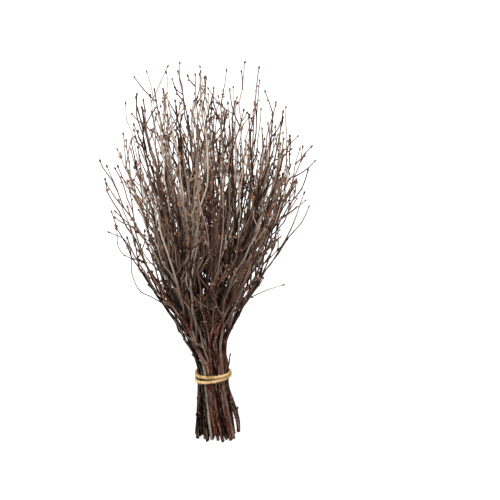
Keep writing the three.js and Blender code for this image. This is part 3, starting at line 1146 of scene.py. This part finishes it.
# A loose fibre that stands off the cord.
def looseFibre(random, line):
    start = random.uniform(0, arcLengths(line)[-1] * 0.97)
    here, ahead = pointsAt(line, [start, start + 1.0])
    direction = unit(ahead - here) * random.choice([-1.0, 1.0])
    side = acrossFrom(direction, random.uniform(0, 2 * math.pi))
    curl = acrossFrom(direction, random.uniform(0, 2 * math.pi))
    reach = random.uniform(*twine["fibreReach"])
    share = np.linspace(0, 1, 5)[:, None]
    bend = side * 0.28 * share ** 2 + curl * 0.15 * np.sin(share * 3)
    return here + side * 1.3 + reach * (direction * share + bend)


# The frayed end of a tail.
def addFray(random, wires, tail):
    direction = unit(tail[-1] - tail[-2])
    share = np.linspace(0, 1, 4)[:, None]
    radii = np.linspace(*twine["frayRadii"], 4)
    for _ in range(twine["frays"]):
        side = acrossFrom(direction, random.uniform(0, 2 * math.pi))
        reach = random.uniform(*twine["frayReach"])
        start = tail[-1] - direction + side * random.uniform(0.1, 1.4)
        points = start + reach * (direction * share + side * 0.35 * share ** 2)
        wires.addLine(points, radii, random.uniform(), 0.0, ply=0.0)


def makeTwine(tree):
    random = np.random.default_rng(bundle["seed"] * 3000)
    wires = Wires()
    wound, knot, tails = twineLines()
    radius = twine["plyRadius"]
    wires.addLine(wound, np.full(len(wound), radius), 0.8, 0.0)
    wires.addLine(knot, np.full(len(knot), radius), 0.6, 0.0, closed=True)
    for tail in tails:
        wires.addLine(tail, np.full(len(tail), radius), 0.9, 0.0)
        addFray(random, wires, tail)
    lines = [wound, knot, *tails]
    shares = np.array([arcLengths(line)[-1] for line in lines])
    radii = np.linspace(*twine["fibreRadii"], 5)
    for _ in range(twine["fibres"]):
        points = looseFibre(random, lines[random.choice(len(lines), p=shares / shares.sum())])
        wires.addLine(points, radii, random.uniform(), 0.0, ply=0.0)
    return grow(wires, tree, "jute_twine", {
        "Plies": twine["plies"],
        "Ply Offset": twine["plyOffset"] * mm,
        "Lay": twine["lay"] * mm,
    })


def install(piece, node):
    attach(piece, "root")
    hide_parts(node)


def countTriangles():
    counts = {}
    for piece in bpy.context.scene.objects:
        if piece.type == "MESH" and piece.name.startswith(("birch_", "jute_")):
            piece.data.calc_loop_triangles()
            counts[piece.name] = len(piece.data.loop_triangles)
    largest = max(counts, key=counts.get)
    print("triangles in all:", sum(counts.values()), "largest:", largest, counts[largest])


stage = {
    "floorSize": 60.0,           # metres, as the next ones
    "cameraDistance": 1.79,
    "aimAside": 0.0390,          # the bundle stands this far left of the view's middle
    "aimHeight": 0.2194,
    "cameraElevation": 12.0,
    "lens": 115.0,
    "floorColour": "#949494",
    "floorGlow": 0.84,           # a floor lit from below, which keeps shadows faint
    "sunStrength": 6.6,
    "sunElevation": 52.0,
    "sunAzimuth": -10.0,         # from the front, to the left
    "sunAngle": 34.0,
    "worldStrength": 0.4,
}


def makeFloor():
    half = stage["floorSize"] / 2
    corners = [(-half, -half, 0), (half, -half, 0), (half, half, 0), (-half, half, 0)]
    mesh = bpy.data.meshes.new("floor")
    mesh.from_pydata(corners, [], [(0, 1, 2, 3)])
    floor = bpy.data.objects.new("floor", mesh)
    bpy.context.scene.collection.objects.link(floor)
    material, _, shader = startMaterial("paleFloor")
    shader.inputs["Base Color"].default_value = hexColour(stage["floorColour"])
    shader.inputs["Roughness"].default_value = 0.95
    shader.inputs["Specular IOR Level"].default_value = 0.0
    shader.inputs["Emission Color"].default_value = (1.0, 1.0, 1.0, 1.0)
    shader.inputs["Emission Strength"].default_value = stage["floorGlow"]
    mesh.materials.append(material)


def makeLight():
    world = bpy.data.worlds.new("softStudio")
    world.use_nodes = True
    background = world.node_tree.nodes["Background"]
    background.inputs["Color"].default_value = (1.0, 1.0, 1.0, 1.0)
    # the backdrop looks as white as the floor, but gives less light
    least = stage["worldStrength"]
    seen = addNode(world.node_tree, "ShaderNodeLightPath").outputs["Is Camera Ray"]
    strength = maths(world.node_tree, "MULTIPLY_ADD", seen, 1.0 - least, least)
    world.node_tree.links.new(strength, background.inputs["Strength"])
    bpy.context.scene.world = world
    lamp = bpy.data.lights.new("key", "SUN")
    lamp.energy = stage["sunStrength"]
    lamp.angle = math.radians(stage["sunAngle"])
    light = bpy.data.objects.new("key", lamp)
    up, aside = math.radians(stage["sunElevation"]), math.radians(stage["sunAzimuth"])
    place = Vector((math.sin(aside) * math.cos(up), -math.cos(aside) * math.cos(up), math.sin(up)))
    light.location = place * 3
    light.rotation_euler = (-place).to_track_quat("-Z", "Y").to_euler()
    bpy.context.scene.collection.objects.link(light)


def makeCamera():
    scene = bpy.context.scene
    camera = bpy.data.objects.new("camera", bpy.data.cameras.new("camera"))
    scene.collection.objects.link(camera)
    camera.data.lens = stage["lens"]
    camera.data.sensor_width = 36.0
    tilt = math.radians(stage["cameraElevation"])
    centre = Vector((stage["aimAside"], 0.0, stage["aimHeight"]))
    towards = Vector((0, -math.cos(tilt), math.sin(tilt)))
    camera.location = centre + towards * stage["cameraDistance"]
    camera.rotation_euler = (centre - camera.location).to_track_quat("-Z", "Y").to_euler()
    scene.camera = camera
    scene.view_settings.view_transform = "Standard"


materials = {
    "bark": barkMaterial(),
    "cutWood": cutWoodMaterial(),
    "bud": budMaterial(),
    "jute": juteMaterial(),
}
growth = twigTree(materials)
for piece, node in makeSeparateTwigs(growth):
    install(piece, node)
print("separate twigs grown")

innerPiece, innerCount = makeInnerTwigs(growth)
install(innerPiece, "inner_twigs")
print("inner twigs grown:", innerCount)

install(makeTwine(twineTree(materials["jute"])), "twine")
print("twine wound")
countTriangles()

makeFloor()
makeLight()
makeCamera()
print("stage set")
